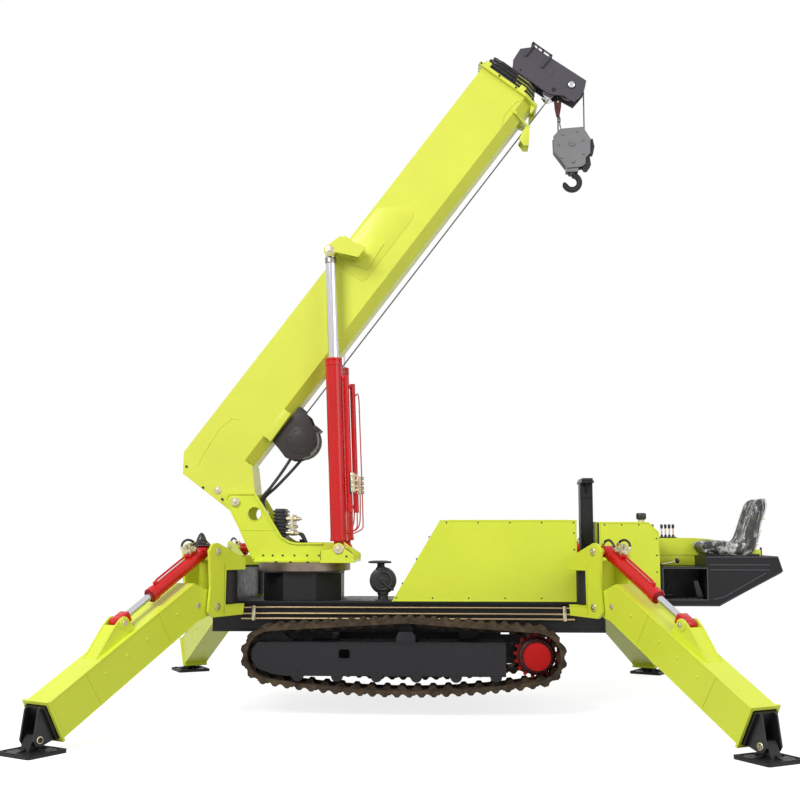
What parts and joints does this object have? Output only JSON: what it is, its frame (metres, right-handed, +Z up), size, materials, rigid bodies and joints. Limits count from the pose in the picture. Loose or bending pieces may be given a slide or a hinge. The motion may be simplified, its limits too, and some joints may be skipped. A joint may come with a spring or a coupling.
{
  "type": "spider crane",
  "caption": "Tracked mini crane on four swinging outriggers, with a slewing telescopic boom, twin luff cylinders, winch, hook block and a rear operator's seat.",
  "frame": {"origin": "on the ground under the middle of the crane's bounding box", "axes": "+X along the chassis from the slewing column towards the seat, +Y across it, +Z up"},
  "size_m": [6.2868, 5.5756, 6.3664],
  "materials": {
    "lime_paint": "semi-gloss yellow-green paint",
    "black_paint": "satin black paint",
    "grey_paint": "satin dark grey paint",
    "block_paint": "satin mid grey paint",
    "red_paint": "gloss red paint",
    "dark_red_paint": "dusty dark red paint",
    "chrome_rod": "hard chrome",
    "track_rubber": "dusty black rubber",
    "bare_steel": "machined steel",
    "pipe_steel": "yellow-passivated steel pipe",
    "cast_dark": "dark casting",
    "seat_vinyl": "black vinyl under clear film"
  },
  "bodies": {
    "chassis": {"chassis_frame": "black_paint", "slew_column": "black_paint", "side_pipes": "pipe_steel", "deck_fitting": "black_paint", "rubber_tracks": "track_rubber", "drive_sprockets": "dark_red_paint", "idlers": "grey_paint", "track_frames": "grey_paint", "engine_hood": "lime_paint", "engine_block": "cast_dark", "boom_rest": "black_paint", "rear_cowl": "lime_paint", "console": "lime_paint", "control_levers": "black_paint", "step_box": "black_paint", "seat": "seat_vinyl"},
    "turret": {"turret_frame": "lime_paint", "slew_ring": "bare_steel", "valve_stack": "cast_dark"},
    "boom": {"boom_base": "lime_paint", "winch_frame": "grey_paint"},
    "drum": {"winch_drum": "bare_steel"},
    "section_2": {"boom_section_2": "black_paint"},
    "section_3": {"boom_section_3": "black_paint"},
    "section_4": {"boom_section_4": "black_paint"},
    "section_5": {"boom_section_5": "black_paint", "boom_head": "grey_paint"},
    "block": {"hook_block": "block_paint", "hook_falls": "bare_steel"},
    "hook": {"hook": "cast_dark"},
    "luff_barrel": {"luff_barrels": "red_paint"},
    "luff_rod": {"luff_rods": "chrome_rod"},
    "front_left_bracket": {"front_left_bracket": "lime_paint"},
    "front_left_leg": {"front_left_leg": "lime_paint"},
    "front_left_inner_leg": {"front_left_inner_leg": "black_paint"},
    "front_left_pad": {"front_left_pad": "black_paint"},
    "front_left_lift_barrel": {"front_left_lift_barrel": "red_paint"},
    "front_left_lift_rod": {"front_left_lift_rod": "chrome_rod"},
    "front_right_bracket": {"front_right_bracket": "lime_paint"},
    "front_right_leg": {"front_right_leg": "lime_paint"},
    "front_right_inner_leg": {"front_right_inner_leg": "black_paint"},
    "front_right_pad": {"front_right_pad": "black_paint"},
    "front_right_lift_barrel": {"front_right_lift_barrel": "red_paint"},
    "front_right_lift_rod": {"front_right_lift_rod": "chrome_rod"},
    "rear_left_bracket": {"rear_left_bracket": "lime_paint"},
    "rear_left_leg": {"rear_left_leg": "lime_paint"},
    "rear_left_inner_leg": {"rear_left_inner_leg": "black_paint"},
    "rear_left_pad": {"rear_left_pad": "black_paint"},
    "rear_left_lift_barrel": {"rear_left_lift_barrel": "red_paint"},
    "rear_left_lift_rod": {"rear_left_lift_rod": "chrome_rod"},
    "rear_right_bracket": {"rear_right_bracket": "lime_paint"},
    "rear_right_leg": {"rear_right_leg": "lime_paint"},
    "rear_right_inner_leg": {"rear_right_inner_leg": "black_paint"},
    "rear_right_pad": {"rear_right_pad": "black_paint"},
    "rear_right_lift_barrel": {"rear_right_lift_barrel": "red_paint"},
    "rear_right_lift_rod": {"rear_right_lift_rod": "chrome_rod"}
  },
  "joints": [
    {"name": "slew", "type": "hinge", "parent": "chassis", "child": "turret", "pos_m": [-1.2437, 0, 1.25], "axis": [0, 0, 1], "continuous": true},
    {"name": "luff", "type": "hinge", "parent": "turret", "child": "boom", "pos_m": [-1.8767, 0, 1.893], "axis": [0, -1, 0], "range_deg": [-38.6, 23.4]},
    {"name": "winch_turn", "type": "hinge", "parent": "boom", "child": "drum", "pos_m": [-1.27884, 0, 2.48069], "axis": [0, 1, 0], "continuous": true},
    {"name": "block_swing", "type": "hinge", "parent": "section_5", "child": "block", "pos_m": [1.35432, 0, 5.96588], "axis": [0, -1, 0], "range_deg": [-23.9, 39.1]},
    {"name": "hook_swivel", "type": "hinge", "parent": "block", "child": "hook", "pos_m": [1.35432, 0, 5.01088], "axis": [0, 0, 1], "continuous": true},
    {"name": "luff_barrel_swing", "type": "hinge", "parent": "turret", "child": "luff_barrel", "pos_m": [-0.8807, 0, 1.452], "axis": [0, -1, 0], "range_deg": [-34.45, 21.28]},
    {"name": "luff_rod_slide", "type": "slide", "parent": "luff_barrel", "child": "luff_rod", "axis": [-0.0356, 0, 0.9994], "range_m": [-0.6923, 0.4236]},
    {"name": "telescope_2", "type": "slide", "parent": "boom", "child": "section_2", "axis": [0.6074, 0, 0.7944], "range_m": [0, 3.3]},
    {"name": "telescope_3", "type": "slide", "parent": "section_2", "child": "section_3", "axis": [0.6074, 0, 0.7944], "range_m": [0, 3.3]},
    {"name": "telescope_4", "type": "slide", "parent": "section_3", "child": "section_4", "axis": [0.6074, 0, 0.7944], "range_m": [0, 3.3]},
    {"name": "telescope_5", "type": "slide", "parent": "section_4", "child": "section_5", "axis": [0.6074, 0, 0.7944], "range_m": [0, 3.3]},
    {"name": "front_left_swing", "type": "hinge", "parent": "chassis", "child": "front_left_bracket", "pos_m": [-1.8617, -0.741, 0.985], "axis": [0, 0, 1], "range_deg": [-58, 22]},
    {"name": "front_left_lift", "type": "hinge", "parent": "front_left_bracket", "child": "front_left_leg", "pos_m": [-2.0017, -0.98349, 0.974], "axis": [0.866, -0.5, 0], "range_deg": [-35, 3]},
    {"name": "front_left_extend", "type": "slide", "parent": "front_left_leg", "child": "front_left_inner_leg", "axis": [-0.4415, -0.7647, -0.4695], "range_m": [0, 0.55]},
    {"name": "front_left_pad_tilt", "type": "hinge", "parent": "front_left_inner_leg", "child": "front_left_pad", "pos_m": [-2.90678, -2.55113, 0.10552], "axis": [0.866, -0.5, 0], "range_deg": [-12, 12]},
    {"name": "front_left_lift_barrel_swing", "type": "hinge", "parent": "front_left_bracket", "child": "front_left_lift_barrel", "pos_m": [-2.0017, -0.98349, 1.444], "axis": [0.866, -0.5, 0], "range_deg": [-31.6, 3.62]},
    {"name": "front_left_lift_rod_slide", "type": "slide", "parent": "front_left_lift_barrel", "child": "front_left_lift_rod", "axis": [-0.4377, -0.7581, -0.4833], "range_m": [-0.2808, 0.0332]},
    {"name": "front_right_swing", "type": "hinge", "parent": "chassis", "child": "front_right_bracket", "pos_m": [-1.8617, 0.741, 0.985], "axis": [0, 0, -1], "range_deg": [-58, 22]},
    {"name": "front_right_lift", "type": "hinge", "parent": "front_right_bracket", "child": "front_right_leg", "pos_m": [-2.0017, 0.98349, 0.974], "axis": [-0.866, -0.5, 0], "range_deg": [-35, 3]},
    {"name": "front_right_extend", "type": "slide", "parent": "front_right_leg", "child": "front_right_inner_leg", "axis": [-0.4415, 0.7647, -0.4695], "range_m": [0, 0.55]},
    {"name": "front_right_pad_tilt", "type": "hinge", "parent": "front_right_inner_leg", "child": "front_right_pad", "pos_m": [-2.90678, 2.55113, 0.10552], "axis": [-0.866, -0.5, 0], "range_deg": [-12, 12]},
    {"name": "front_right_lift_barrel_swing", "type": "hinge", "parent": "front_right_bracket", "child": "front_right_lift_barrel", "pos_m": [-2.0017, 0.98349, 1.444], "axis": [-0.866, -0.5, 0], "range_deg": [-31.6, 3.62]},
    {"name": "front_right_lift_rod_slide", "type": "slide", "parent": "front_right_lift_barrel", "child": "front_right_lift_rod", "axis": [-0.4377, 0.7581, -0.4833], "range_m": [-0.2808, 0.0332]},
    {"name": "rear_left_swing", "type": "hinge", "parent": "chassis", "child": "rear_left_bracket", "pos_m": [1.3683, -0.741, 0.985], "axis": [0, 0, -1], "range_deg": [-58, 22]},
    {"name": "rear_left_lift", "type": "hinge", "parent": "rear_left_bracket", "child": "rear_left_leg", "pos_m": [1.5083, -0.98349, 0.974], "axis": [0.866, 0.5, 0], "range_deg": [-35, 3]},
    {"name": "rear_left_extend", "type": "slide", "parent": "rear_left_leg", "child": "rear_left_inner_leg", "axis": [0.4415, -0.7647, -0.4695], "range_m": [0, 0.55]},
    {"name": "rear_left_pad_tilt", "type": "hinge", "parent": "rear_left_inner_leg", "child": "rear_left_pad", "pos_m": [2.41338, -2.55113, 0.10552], "axis": [0.866, 0.5, 0], "range_deg": [-12, 12]},
    {"name": "rear_left_lift_barrel_swing", "type": "hinge", "parent": "rear_left_bracket", "child": "rear_left_lift_barrel", "pos_m": [1.5083, -0.98349, 1.444], "axis": [0.866, 0.5, 0], "range_deg": [-31.6, 3.62]},
    {"name": "rear_left_lift_rod_slide", "type": "slide", "parent": "rear_left_lift_barrel", "child": "rear_left_lift_rod", "axis": [0.4377, -0.7581, -0.4833], "range_m": [-0.2808, 0.0332]},
    {"name": "rear_right_swing", "type": "hinge", "parent": "chassis", "child": "rear_right_bracket", "pos_m": [1.3683, 0.741, 0.985], "axis": [0, 0, 1], "range_deg": [-58, 22]},
    {"name": "rear_right_lift", "type": "hinge", "parent": "rear_right_bracket", "child": "rear_right_leg", "pos_m": [1.5083, 0.98349, 0.974], "axis": [-0.866, 0.5, 0], "range_deg": [-35, 3]},
    {"name": "rear_right_extend", "type": "slide", "parent": "rear_right_leg", "child": "rear_right_inner_leg", "axis": [0.4415, 0.7647, -0.4695], "range_m": [0, 0.55]},
    {"name": "rear_right_pad_tilt", "type": "hinge", "parent": "rear_right_inner_leg", "child": "rear_right_pad", "pos_m": [2.41338, 2.55113, 0.10552], "axis": [-0.866, 0.5, 0], "range_deg": [-12, 12]},
    {"name": "rear_right_lift_barrel_swing", "type": "hinge", "parent": "rear_right_bracket", "child": "rear_right_lift_barrel", "pos_m": [1.5083, 0.98349, 1.444], "axis": [-0.866, 0.5, 0], "range_deg": [-31.6, 3.62]},
    {"name": "rear_right_lift_rod_slide", "type": "slide", "parent": "rear_right_lift_barrel", "child": "rear_right_lift_rod", "axis": [0.4377, 0.7581, -0.4833], "range_m": [-0.2808, 0.0332]}
  ],
  "couplings": [
    {"joint": "block_swing", "follows": "luff", "ratio": -1},
    {"joint": "luff_barrel_swing", "follows": "luff", "ratio": 0.86649},
    {"joint": "luff_rod_slide", "follows": "luff", "m_per_rad": 1.0127},
    {"joint": "telescope_3", "follows": "telescope_2", "ratio": 1},
    {"joint": "telescope_4", "follows": "telescope_2", "ratio": 1},
    {"joint": "telescope_5", "follows": "telescope_2", "ratio": 1},
    {"joint": "front_left_lift_barrel_swing", "follows": "front_left_lift", "ratio": 0.87431},
    {"joint": "front_left_lift_rod_slide", "follows": "front_left_lift", "m_per_rad": 0.44329},
    {"joint": "front_right_lift_barrel_swing", "follows": "front_right_lift", "ratio": 0.87431},
    {"joint": "front_right_lift_rod_slide", "follows": "front_right_lift", "m_per_rad": 0.44329},
    {"joint": "rear_left_lift_barrel_swing", "follows": "rear_left_lift", "ratio": 0.87431},
    {"joint": "rear_left_lift_rod_slide", "follows": "rear_left_lift", "m_per_rad": 0.44329},
    {"joint": "rear_right_lift_barrel_swing", "follows": "rear_right_lift", "ratio": 0.87431},
    {"joint": "rear_right_lift_rod_slide", "follows": "rear_right_lift", "m_per_rad": 0.44329}
  ]
}
